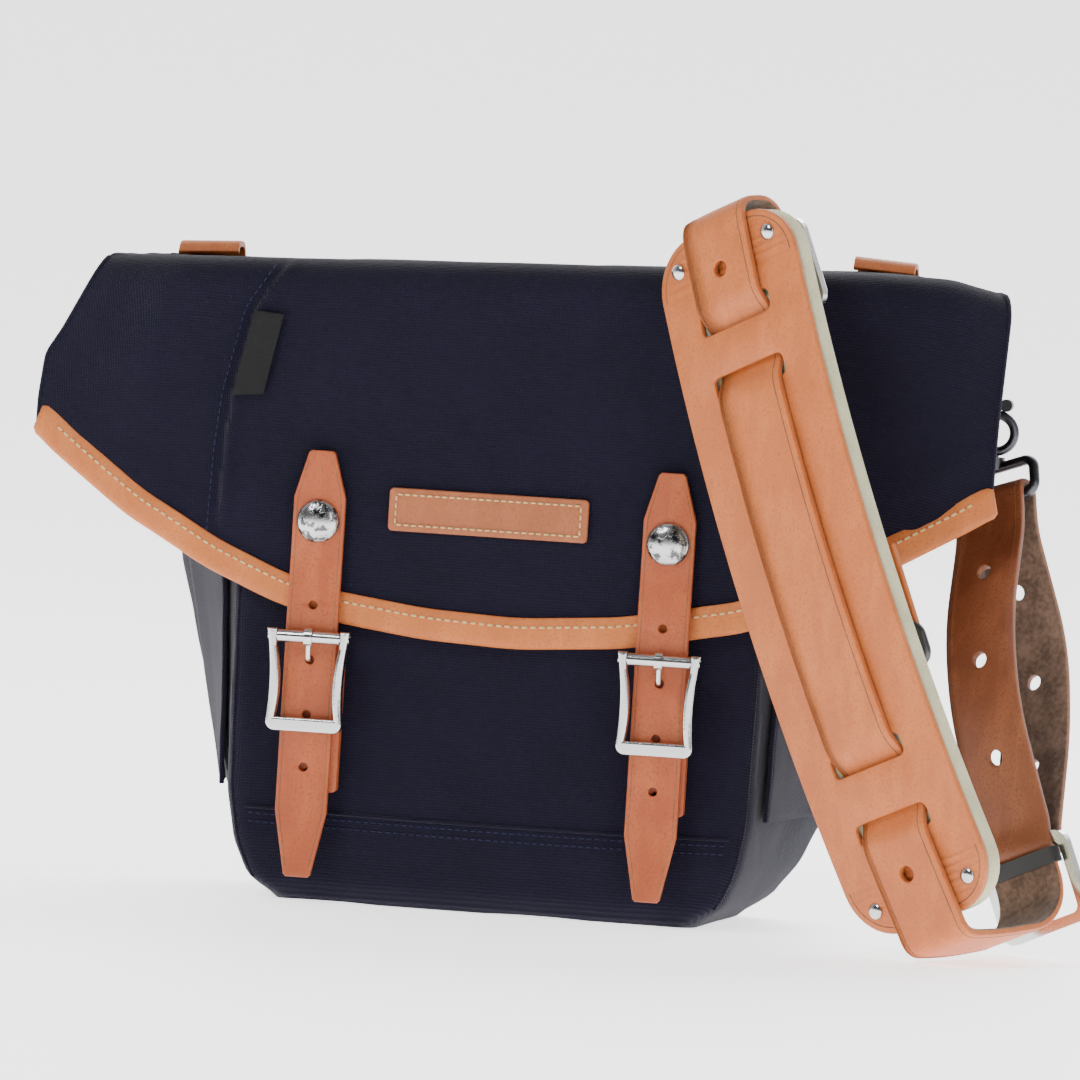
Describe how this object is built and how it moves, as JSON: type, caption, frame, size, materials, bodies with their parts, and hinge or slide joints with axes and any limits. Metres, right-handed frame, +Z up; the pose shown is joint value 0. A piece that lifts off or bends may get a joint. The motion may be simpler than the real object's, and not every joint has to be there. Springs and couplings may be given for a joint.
{
  "type": "messenger bag",
  "caption": "Canvas messenger bag with a leather-trimmed flap on two buckled straps and a padded leather shoulder strap on a side swivel.",
  "frame": {"origin": "middle of the base on the surface the bag stands on", "axes": "+Z up, -Y towards the bag's front, +X to the right seen from the front"},
  "size_m": [0.4187, 0.1838, 0.2805],
  "materials": {
    "canvas": "matte ribbed navy canvas",
    "binding_tape": "matte navy tape",
    "board": "matte stiffener board",
    "trim_leather": "matte natural leather",
    "patch_leather": "matte natural leather",
    "strap_leather": "smooth waxed natural leather",
    "shoulder_leather": "smooth natural leather",
    "foam": "cream felt foam",
    "nickel": "polished nickel",
    "gunmetal": "dark gunmetal",
    "black_plastic": "matte black",
    "tag_weave": "black woven label"
  },
  "bodies": {
    "bag": {"body_shell": "canvas", "base_board": "board", "mouth_binding": "binding_tape", "back_yoke": "canvas", "gusset_pocket_left": "canvas", "gusset_pocket_right": "canvas", "chape_left": "strap_leather", "chape_right": "strap_leather", "buckle_pin_left": "nickel", "buckle_pin_right": "nickel", "side_tab_left": "shoulder_leather", "side_tab_right": "shoulder_leather", "side_ring_left": "gunmetal", "side_ring_right": "gunmetal", "side_hook": "gunmetal", "side_hook_catch": "black_plastic"},
    "flap": {"flap_panel": "canvas", "flap_trim": "trim_leather", "patch": "patch_leather", "woven_tag": "tag_weave", "flap_loop_left": "shoulder_leather", "flap_loop_right": "shoulder_leather", "snap_cap_left": "nickel", "snap_cap_right": "nickel", "snap_stud_left": "nickel", "snap_stud_right": "nickel", "front_strap_left": "strap_leather", "front_strap_right": "strap_leather"},
    "buckle_left": {"buckle_frame_left": "nickel"},
    "buckle_right": {"buckle_frame_right": "nickel"},
    "tongue_left": {"prong_left": "nickel"},
    "tongue_right": {"prong_right": "nickel"},
    "shoulder_strap": {"pad_leather": "shoulder_leather", "pad_foam": "foam", "pad_rivets": "nickel", "main_strap": "shoulder_leather", "strap_foot": "shoulder_leather", "tail_strap": "shoulder_leather", "end_strap": "shoulder_leather", "strap_ring": "gunmetal", "tail_ring": "gunmetal", "tail_hook": "gunmetal", "tail_hook_catch": "black_plastic", "lower_buckle": "nickel", "upper_buckle": "nickel", "lower_keeper": "black_plastic", "upper_keeper": "black_plastic"}
  },
  "joints": [
    {"name": "flap_hinge", "type": "hinge", "parent": "bag", "child": "flap", "pos_m": [0, 0.052, 0.243], "axis": [-1, 0, 0], "range_deg": [0, 150], "deforming": ["front_strap_left", "front_strap_right", "pad_leather", "pad_foam", "pad_rivets", "main_strap", "tail_strap", "end_strap", "strap_ring", "tail_ring", "tail_hook", "tail_hook_catch", "lower_buckle", "upper_buckle", "lower_keeper", "upper_keeper"]},
    {"name": "strap_swing", "type": "hinge", "parent": "bag", "child": "shoulder_strap", "pos_m": [0.18099, -0.00106, 0.18318], "axis": [0, 0, 1], "range_deg": [0, 70]},
    {"name": "buckle_left_hinge", "type": "hinge", "parent": "bag", "child": "buckle_left", "pos_m": [-0.07, -0.0619, 0.1018], "axis": [-1, 0, 0], "range_deg": [0, 80]},
    {"name": "tongue_left_hinge", "type": "hinge", "parent": "bag", "child": "tongue_left", "pos_m": [-0.07, -0.0619, 0.1018], "axis": [-1, 0, 0], "range_deg": [0, 100]},
    {"name": "buckle_right_hinge", "type": "hinge", "parent": "bag", "child": "buckle_right", "pos_m": [0.065, -0.0619, 0.1018], "axis": [-1, 0, 0], "range_deg": [0, 80]},
    {"name": "tongue_right_hinge", "type": "hinge", "parent": "bag", "child": "tongue_right", "pos_m": [0.065, -0.0619, 0.1018], "axis": [-1, 0, 0], "range_deg": [0, 100]}
  ]
}
